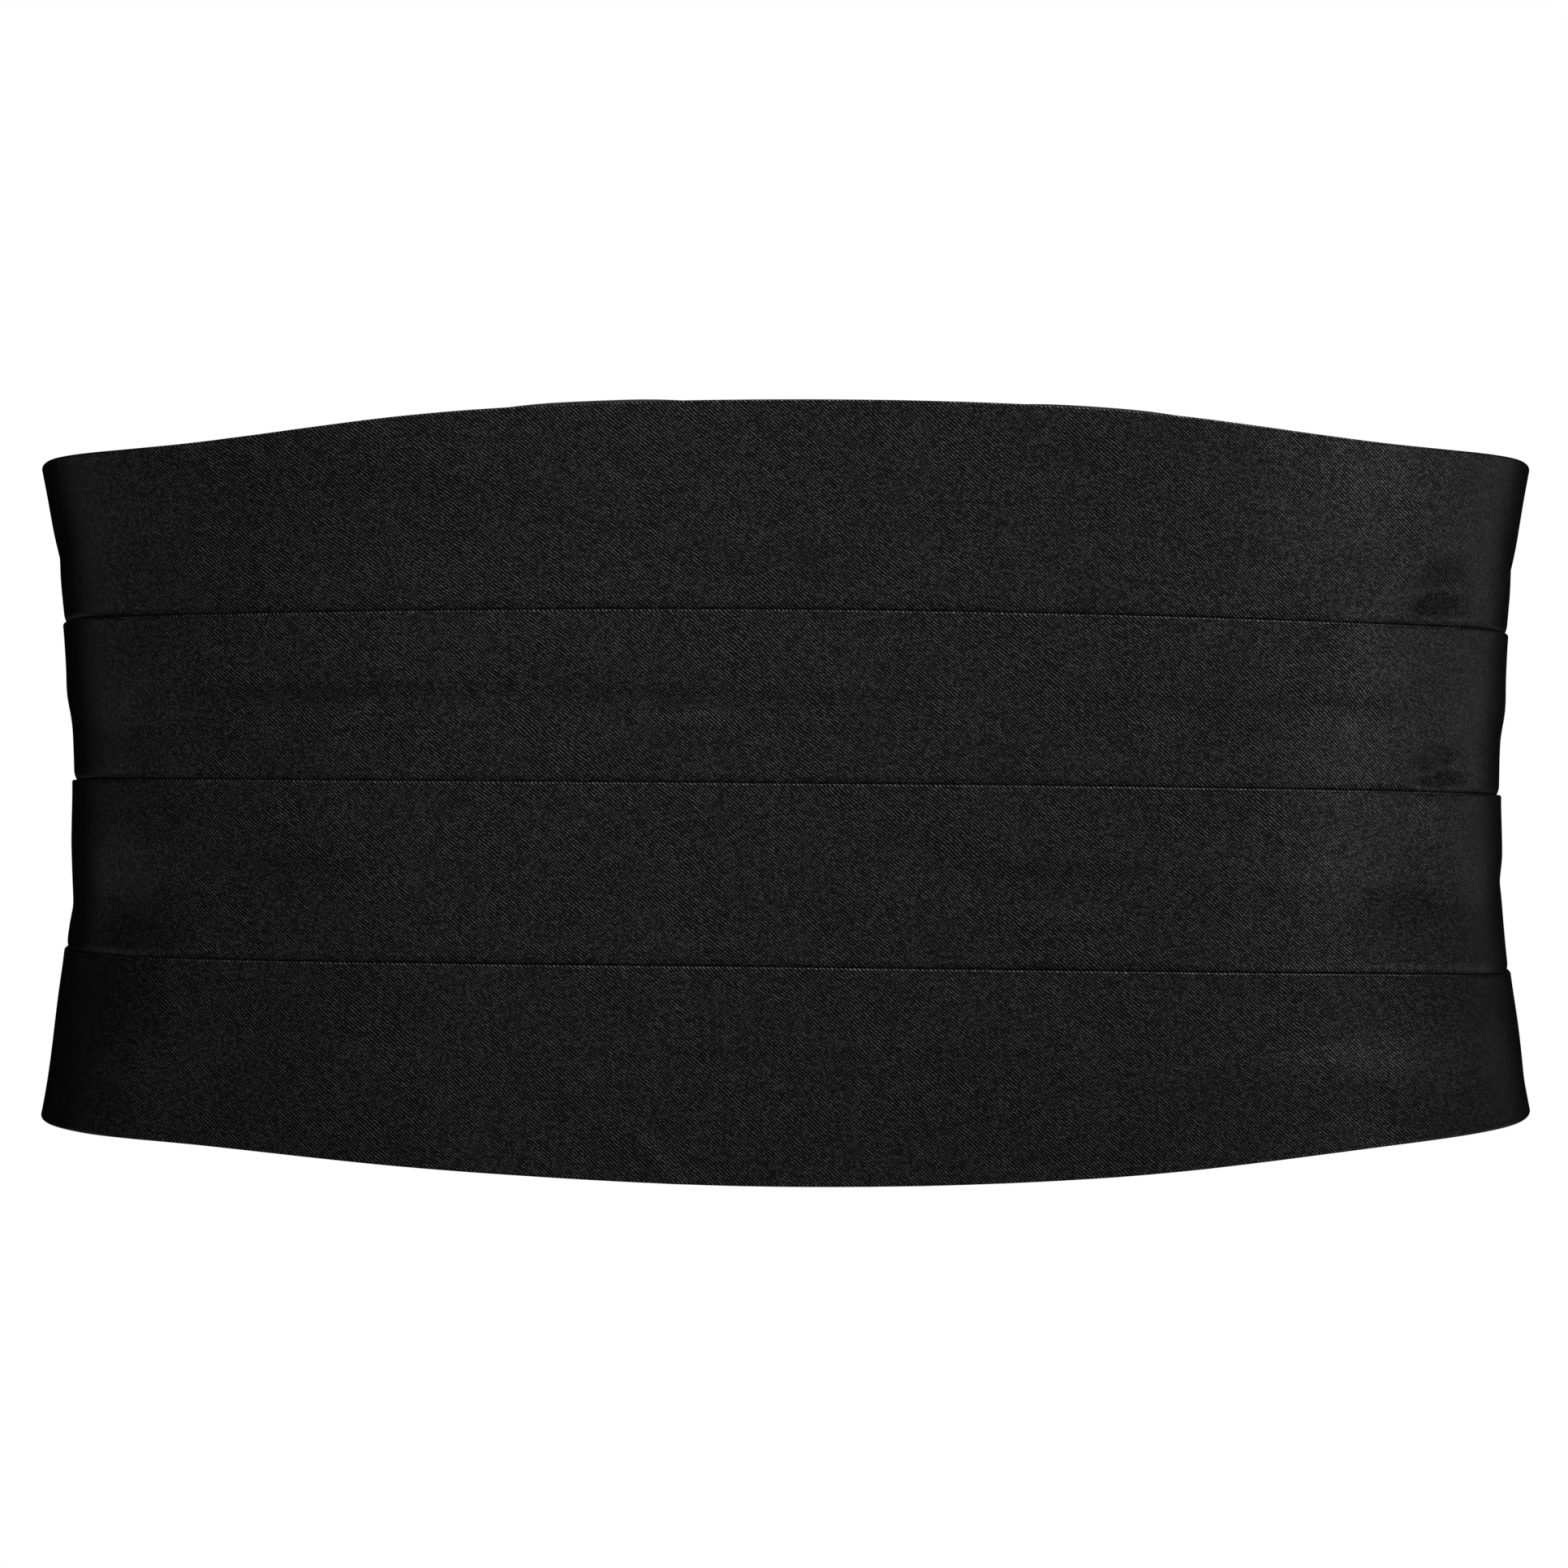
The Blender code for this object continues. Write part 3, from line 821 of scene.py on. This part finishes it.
def make_webbing():
    """Ribs across the strap, split into fine warp threads: two sines without their signs."""
    material, nodes, shader = new_material("black_webbing")
    place_mm = cloth_mm(nodes)
    wander = nodes.spread(nodes.noise(place_mm, 0.8, 2.0), -0.5, 0.5)
    across = nodes.math("ADD", nodes.dot(place_mm, (np.pi / RIB_MM, 0)), wander)
    rib = nodes.math("ABSOLUTE", nodes.math("SINE", across))
    warp = nodes.math("ABSOLUTE", nodes.math("SINE", nodes.dot(place_mm, (0, np.pi / WARP_MM))))
    weave = nodes.math("MULTIPLY", rib, nodes.remap(warp, 0.0, 1.0, 0.55, 1.0))
    speck = nodes.spread(nodes.noise(place_mm, 3.0, 1.0), 0.5, 1.2)
    tone = nodes.math("MULTIPLY", weave, speck)
    colour = nodes.mix(tone, WEBBING_DARK, WEBBING_PALE)
    normal = nodes.bump(weave, 0.14 * MM, 0.8)
    finish_shader(nodes, shader, Base_Color=colour, Normal=normal, Roughness=0.55)
    return material


WEBBING = make_webbing()


def smooth_path(path, step):
    """A Catmull curve through a path's points at even steps, and the distance along it."""
    padded = np.concatenate([2 * path[:1] - path[1:2], path, 2 * path[-1:] - path[-2:-1]])
    t = np.linspace(0, 1, 12, endpoint=False)[:, None]
    pieces = []
    for a, b, c, d in zip(padded, padded[1:], padded[2:], padded[3:]):
        bend = 2 * b + (c - a) * t + (2 * a - 5 * b + 4 * c - d) * t**2
        pieces.append((bend + (3 * b - a - 3 * c + d) * t**3) / 2)
    dense = np.concatenate([*pieces, path[-1:]])
    run = run_of(dense)
    count = int(run[-1] / step) + 1
    return at_even_steps(dense, run, count), np.linspace(0, run[-1], count)


def arc(centre, radius, start, stop, count):
    """Points on an arc in the plane of along and out, between two angles in degrees."""
    angle = np.radians(np.linspace(start, stop, count))
    return np.stack([centre[0] + radius * np.cos(angle), centre[1] + radius * np.sin(angle)], -1)


def strap_cup(up):
    """How far the strap's edges curl in, by the cube of the distance from its middle."""
    return STRAP_CUP * (np.abs(up) / STRAP_HALF_HEIGHT) ** 3


def make_strap(name, side, bar, bar_radius):
    """From inside the end band to the bar, round it and back, by distance from the centre back."""
    loop = bar_radius + STRAP_GAP + STRAP_THICK / 2
    apart = (STRAP_THICK + STRAP_LAYER_GAP) / 2
    start = CENTRE_BACK - PANEL_END
    outer, inner = CLASP_OUT + apart, CLASP_OUT - apart
    path = np.concatenate([
        [(start, END_MIDDLE), (start - STRAP_LEVEL_RUN, END_MIDDLE)],
        [(start - STRAP_OUT_RUN, (END_MIDDLE + outer) / 2)],
        [(bar + STRAP_DOUBLED, outer), (bar + 3 * loop, outer)],
        arc((bar, CLASP_OUT), loop, 65, 295, 11),
        [(bar + 3 * loop, inner), (bar + STRAP_DOUBLED, inner)],
    ])
    path, run = smooth_path(path, 0.5 * MM)
    up = np.linspace(-STRAP_HALF_HEIGHT, STRAP_HALF_HEIGHT, 26)[None]
    along = side * (CENTRE_BACK - path[:, :1])
    points = place(along, path[:, 1:] - strap_cup(up), up if side < 0 else -up)
    uv = np.stack([run[:, None] + 0 * up, up + 0 * run[:, None]], axis=-1)
    strap = grid_mesh(f"{name}_webbing", points, uv, STRAP_THICK, WEBBING)
    round_edges(strap, 0.35 * MM, 3)
    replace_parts(strap, name)
    near, far = bar + loop + BOX_MARGINS[0], bar + STRAP_DOUBLED - BOX_MARGINS[1]
    tall = STRAP_HALF_HEIGHT - BOX_MARGINS[2]
    box = [(near, -tall), (near, tall), (far, tall), (far, -tall), (near, -tall), (far, tall)]
    lines = []
    for (c0, z0), (c1, z1) in zip(box, box[1:]):
        t = np.linspace(0, 1, 12)
        at, high = side * (CENTRE_BACK - c0 - (c1 - c0) * t), z0 + (z1 - z0) * t
        for leg, face in ((outer, 1), (inner, -1)):
            out = leg + face * (STRAP_THICK / 2 + ON_THE_FACE)
            points = place(at, out - strap_cup(high), high)
            outward = face * (place(at, out + MM, high) - place(at, out, high)) / MM
            lines.append((points, outward))
    stitch_lines(f"{name}_stitches", lines)


hook_bar = HOOK_TAIL - HOOK_TAIL_BAR / 2
make_strap("strap_left", 1, hook_bar, float(np.hypot(HOOK_TAIL_BAR, HOOK_PLATE)) / 2)
make_strap("strap_right", -1, EYE_STRAP_BAR, WIRE_RADIUS)

# %% [markdown]
# ## The clasp
#
# The eye is a rectangle of wire, and the hook is a plate with a slot for its strap and a nose
# that curls round the eye. The plate is a grid in two directions: along its bent path, and up
# its height, which narrows towards the nose. The quads inside the slot are left out.

# %% Make the dark nickel steel
STEEL_DARK = (0.20, 0.195, 0.19)
STEEL_PALE = (0.46, 0.46, 0.47)


def make_steel():
    """Soft polish: fine scratches stretched one way, and a faint cloudy tarnish."""
    material, nodes, shader = new_material("dark_nickel")
    spot = nodes.add("ShaderNodeTexCoord", output=3)
    stretched = nodes.add("ShaderNodeMapping", {"Vector": spot, "Scale": (900.0, 900.0, 9000.0)})
    scratches = nodes.noise(stretched, 1.0, 3.0, "3D")
    cloudy = nodes.noise(spot, 160.0, 4.0, "3D")
    tarnish = nodes.math("MULTIPLY", cloudy, 0.1)
    finish_shader(
        nodes,
        shader,
        Base_Color=nodes.mix(cloudy, STEEL_DARK, STEEL_PALE),
        Roughness=nodes.math("ADD", nodes.spread(scratches, 0.16, 0.34), tarnish),
        Normal=nodes.bump(scratches, 0.01 * MM, 0.3),
        Metallic=1.0,
    )
    return material


STEEL = make_steel()
print("steel:", STEEL.name, "from", STEEL_DARK, "to", STEEL_PALE)

# %% Bend the eye
EYE_HALF_HEIGHT = 15.7 * MM
EYE_CORNER = 3.0 * MM
CORNER_POINTS = 9


def make_eye():
    """A closed wire through four straight runs and four quarter turns."""
    middle = (EYE_STRAP_BAR + EYE_HOOK_BAR) / 2
    half_width = (EYE_STRAP_BAR - EYE_HOOK_BAR) / 2 - EYE_CORNER
    half_height = EYE_HALF_HEIGHT - EYE_CORNER
    quarter = np.radians(np.linspace(0, 90, CORNER_POINTS))
    corner_along = (half_width, -half_width, -half_width, half_width)
    corner_up = (half_height, half_height, -half_height, -half_height)
    turns = np.concatenate([quarter + k * np.pi / 2 for k in range(4)])
    along = np.repeat(corner_along, CORNER_POINTS) + EYE_CORNER * np.cos(turns)
    along = along + middle - CENTRE_BACK
    up = np.repeat(corner_up, CORNER_POINTS) + EYE_CORNER * np.sin(turns)
    points = place(along, np.full_like(along, CLASP_OUT), up)
    curve = bpy.data.curves.new("eye_wire", "CURVE")
    curve.dimensions = "3D"
    curve.bevel_depth = WIRE_RADIUS
    curve.bevel_resolution = 6
    spline = curve.splines.new("POLY")
    spline.points.add(len(points) - 1)
    weights = np.ones((len(points), 1))
    spline.points.foreach_set("co", np.concatenate([points, weights], axis=1).ravel())
    spline.use_cyclic_u = True
    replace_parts(add_piece("eye_wire", curve, STEEL), "eye")
    print("eye: a wire through", len(points), "points")


make_eye()

# %% Cut and bend the hook
HOOK_TAIL_HALF_HEIGHT = 15.5 * MM
HOOK_SLOT = 3.5 * MM
HOOK_SLOT_HALF_HEIGHT = 13.1 * MM
HOOK_NOSE_HALF_HEIGHT = 5.5 * MM
HOOK_RAMP = 9.0 * MM
HOOK_TONGUE = 4.0 * MM
HOOK_CORNER = 2.0 * MM
HOOK_CORNER_SHARE = 0.9
HOOK_PLAY = 0.3 * MM  # between the nose and the wire


def make_hook():
    """The plate runs level, ramps up, curls half a turn round the wire, and ends in a tongue."""
    nose = WIRE_RADIUS + HOOK_PLAY + HOOK_PLATE / 2
    slot_start = -HOOK_TAIL + HOOK_TAIL_BAR
    slot_end = slot_start + HOOK_SLOT
    taper_start, taper_end = slot_end + HOOK_TAIL_BAR, EYE_HOOK_BAR - 3 * nose
    level = np.concatenate([
        np.linspace(-HOOK_TAIL, slot_start, 4)[:-1],
        np.linspace(slot_start, slot_end, 4)[:-1],
        np.linspace(slot_end, EYE_HOOK_BAR - HOOK_RAMP, 12)[:-1],
    ])
    climb = np.linspace(EYE_HOOK_BAR - HOOK_RAMP, EYE_HOOK_BAR, 14)[:-1]
    tongue = np.linspace(EYE_HOOK_BAR, EYE_HOOK_BAR - HOOK_TONGUE, 7)[1:]
    lifted = CLASP_OUT + nose * smooth_step((climb - climb[0]) / HOOK_RAMP)
    path = np.concatenate([
        np.stack([level, np.full_like(level, CLASP_OUT)], -1),
        np.stack([climb, lifted], -1),
        arc((EYE_HOOK_BAR, CLASP_OUT), nose, 90, -90, 17),
        np.stack([tongue, np.full_like(tongue, CLASP_OUT - nose)], -1),
    ])
    taper = smooth_step((path[:, :1] - taper_start) / (taper_end - taper_start))
    half = HOOK_TAIL_HALF_HEIGHT + (HOOK_NOSE_HALF_HEIGHT - HOOK_TAIL_HALF_HEIGHT) * taper
    rounded = np.clip((HOOK_CORNER - (path[:, :1] + HOOK_TAIL)) / HOOK_CORNER, 0, 1)
    half = half - HOOK_CORNER * (1 - np.sqrt(1 - rounded**2)) * HOOK_CORNER_SHARE
    slot_share = HOOK_SLOT_HALF_HEIGHT / HOOK_TAIL_HALF_HEIGHT
    share = np.concatenate([
        np.linspace(-1, -slot_share, 4)[:-1],
        np.linspace(-slot_share, slot_share, 13),
        np.linspace(slot_share, 1, 4)[1:],
    ])[None]
    up = half * share
    points = place(path[:, :1] - CENTRE_BACK, path[:, 1:], up)
    uv = np.stack([path[:, :1] + 0 * up, up], axis=-1)
    between = (path[1:, 0] + path[:-1, 0]) / 2
    in_slot = (between > slot_start) & (between < slot_end)
    middle_share = np.abs(share[0, 1:] + share[0, :-1]) / 2
    keep = ~(in_slot[:, None] & (middle_share < slot_share)[None])
    hook = grid_mesh("hook_plate", points, uv, HOOK_PLATE, STEEL, keep)
    round_edges(hook, 0.25 * MM, 3)
    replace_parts(hook, "hook")
    print("hook: a plate of", int(keep.sum()), "quads and", int((~keep).sum()), "left out")


make_hook()

# %% [markdown]
# ## The studio
#
# The cloth is black, so nearly all that shows is what it mirrors. The studio is therefore drawn
# on the world, as brightness by direction: a wide soft light in front, stronger on the right,
# darkness at both sides behind the garment, which blackens its turning edges, and a white
# backdrop that gives those edges their last thin gleam. Two dark flags dim the sides above the
# horizon, and behind the garment the pale floor glows below it. The camera sees plain white.
# Two soft boxes, before and behind, light the cloth itself and leave no bright spot on it.

# %% Light the studio
# degrees round from the camera's side towards the right of the picture, brightness
ROUND_THE_STUDIO = (
    (-180, 0.30), (-176, 0.12), (-172, 0.0), (-138, 0.0), (-130, 0.05), (-122, 0.10), (-106, 0.18),
    (-80, 0.19), (-50, 0.18), (-28, 0.20), (-16, 0.30), (0, 0.37), (18, 0.35), (30, 0.35),
    (42, 0.66), (54, 0.98), (70, 0.74), (94, 0.46), (112, 0.32), (128, 0.20), (138, 0.06),
    (146, 0.0), (172, 0.0), (176, 0.12), (180, 0.30),
)
# sine of the height above the horizon, brightness
UP_THE_STUDIO = (
    (-1.0, 0.50), (-0.50, 0.60), (-0.34, 0.36), (-0.20, 0.75), (-0.12, 1.15), (-0.04, 1.12),
    (0.0, 0.90), (0.12, 0.31), (0.30, 0.25), (0.50, 1.6), (0.75, 3.2), (1.0, 3.2),
)
# the same two for the dark flags: the left one hides the upper light, the right one dims it
LEFT_FLAG_ROUND = ((-180, 1.0), (-84, 1.0), (-62, 0.0), (150, 0.0), (180, 1.0))
LEFT_FLAG_UP = ((-1.0, 0.0), (-0.05, 0.0), (0.06, 0.97), (0.7, 0.97), (0.9, 0.0), (1.0, 0.0))
RIGHT_FLAG_ROUND = ((-180, 0.0), (30, 0.0), (48, 0.8), (135, 0.8), (160, 0.0), (180, 0.0))
RIGHT_FLAG_UP = ((-1.0, 0.0), (0.03, 0.0), (0.13, 1.0), (0.5, 1.0), (0.8, 0.0), (1.0, 0.0))
# and for the glow of the pale floor behind the garment
GLOW_ROUND = ((-180, 0.42), (-152, 0.42), (-134, 0.0), (134, 0.0), (152, 0.42), (180, 0.42))
GLOW_UP = ((-1.0, 0.8), (-0.30, 1.0), (-0.16, 0.0), (1.0, 0.0))


def ramp(nodes, position, table, low, high):
    """A colour ramp that holds a short table of values against positions from low to high."""
    share = nodes.remap(position, low, high, 0.0, 1.0)
    node = nodes.add("ShaderNodeValToRGB", {0: share}).node
    stops = node.color_ramp.elements
    while len(stops) < len(table):
        stops.new(0.5)
    for stop, (at, value) in zip(stops, table):
        stop.position = (at - low) / (high - low)
        stop.color = (value, value, value, 1.0)
    return node.outputs[0]


def make_studio():
    """Brightness by direction: the main patch, times one minus each flag's patch, plus the glow.

    A patch is its table round times its table up. To the camera the world is plain white.
    """
    world = bpy.data.worlds.new("studio")
    bpy.context.scene.world = world
    world.use_nodes = True
    nodes = Nodes(world.node_tree)
    way = nodes.add("ShaderNodeTexCoord")
    x, y, z = nodes.add("ShaderNodeSeparateXYZ", {0: way}).node.outputs
    round_it = nodes.math("ARCTAN2", x, nodes.math("MULTIPLY", y, -1.0))
    degrees = nodes.math("MULTIPLY", round_it, 180 / np.pi)

    def patch(around, upwards):
        round_share = ramp(nodes, degrees, around, -180, 180)
        return nodes.math("MULTIPLY", round_share, ramp(nodes, z, upwards, -1, 1))

    light = patch(ROUND_THE_STUDIO, UP_THE_STUDIO)
    for flag in ((LEFT_FLAG_ROUND, LEFT_FLAG_UP), (RIGHT_FLAG_ROUND, RIGHT_FLAG_UP)):
        light = nodes.math("MULTIPLY", light, nodes.math("SUBTRACT", 1.0, patch(*flag)))
    light = nodes.math("ADD", light, patch(GLOW_ROUND, GLOW_UP))
    inputs = {"Factor": nodes.add("ShaderNodeLightPath"), 6: light, 7: (1.0, 1.0, 1.0, 1.0)}
    colour = nodes.add("ShaderNodeMix", inputs, output=2, data_type="RGBA")
    finish_shader(nodes, world.node_tree.nodes["Background"], Color=colour)


FLOOR_DEPTH = 0.355
FLOOR_RADIUS = 1.9
FLOOR_SIDES = 128
FLOOR_COLOUR = (0.85, 0.85, 0.85, 1.0)
FLOOR_GLOW = 0.36
LIGHT_SIZE = 0.30
# place, aim, watts and spread in degrees
FRONT_LIGHT = ((0.06, -0.50, 0.36), (0.01, -0.08, 0.13), 0.3, 20)
BACK_LIGHT = ((0.0, 0.62, 0.30), (0.0, 0.05, 0.0), 0.85, 60)


def make_floor():
    """A plain pale disc, far enough below the garment that the level view misses it."""
    turn = np.linspace(0, 2 * np.pi, FLOOR_SIDES, endpoint=False)
    level = np.full_like(turn, -FLOOR_DEPTH)
    rim = np.stack([FLOOR_RADIUS * np.cos(turn), FLOOR_RADIUS * np.sin(turn), level], -1)
    mesh = bpy.data.meshes.new("floor")
    mesh.from_pydata(rim.tolist(), [], [list(range(len(rim)))])
    material, nodes, shader = new_material("pale_floor")
    glow = {"Emission_Color": FLOOR_COLOUR, "Emission_Strength": FLOOR_GLOW}
    finish_shader(nodes, shader, Base_Color=FLOOR_COLOUR, Roughness=0.9, **glow)
    mesh.materials.append(material)
    floor = bpy.data.objects.new("floor", mesh)
    bpy.context.collection.objects.link(floor)
    floor.visible_glossy = False
    floor.visible_diffuse = False


def soft_box(name, place_at, aim, watts, spread):
    """A square soft light at a place, turned to a point, seen by no camera and in no gloss."""
    light = bpy.data.lights.new(name, "AREA")
    light.size = LIGHT_SIZE
    light.energy = watts
    light.spread = np.radians(spread)
    lamp = bpy.data.objects.new(name, light)
    lamp.location = place_at
    lamp.rotation_euler = (Vector(aim) - Vector(place_at)).to_track_quat("-Z", "Y").to_euler()
    lamp.visible_camera = False
    lamp.visible_glossy = False
    bpy.context.collection.objects.link(lamp)


make_studio()
make_floor()
soft_box("front_light", *FRONT_LIGHT)
soft_box("back_light", *BACK_LIGHT)
print("studio: a world of 4 patches, a floor of radius", FLOOR_RADIUS, "m and 2 soft boxes")

# %% [markdown]
# ## The camera
#
# The garment is seen level and straight from the front, through a long lens. The lens is worked
# out from how wide the frame is at the waist's middle, and the camera is moved aside by the small
# distance that the garment lies off the picture's middle.

# %% Place the camera
FRAME_PIXELS = 1932
WAIST_PIXEL = (968.5, 977.0)
CAMERA_DISTANCE = 1.6
PIXEL = 0.1525 * MM  # at the waist's middle
SENSOR = 36.0
FARTHEST = 10.0


def make_camera():
    """Lens: distance times sensor over frame width. Place: level with the waist, in front of it."""
    camera = bpy.data.cameras.new("camera")
    camera.sensor_width = SENSOR
    camera.lens = CAMERA_DISTANCE * SENSOR / (FRAME_PIXELS * PIXEL)
    camera.clip_end = FARTHEST
    eye = bpy.data.objects.new("camera", camera)
    right = (FRAME_PIXELS / 2 - WAIST_PIXEL[0]) * PIXEL
    above = (WAIST_PIXEL[1] - FRAME_PIXELS / 2) * PIXEL
    eye.location = (right, -CAMERA_DISTANCE, above)
    eye.rotation_euler = (np.pi / 2, 0.0, 0.0)
    bpy.context.collection.objects.link(eye)
    bpy.context.scene.camera = eye
    print("lens in mm:", round(camera.lens, 1))


make_camera()
bpy.context.scene.view_settings.view_transform = "Standard"
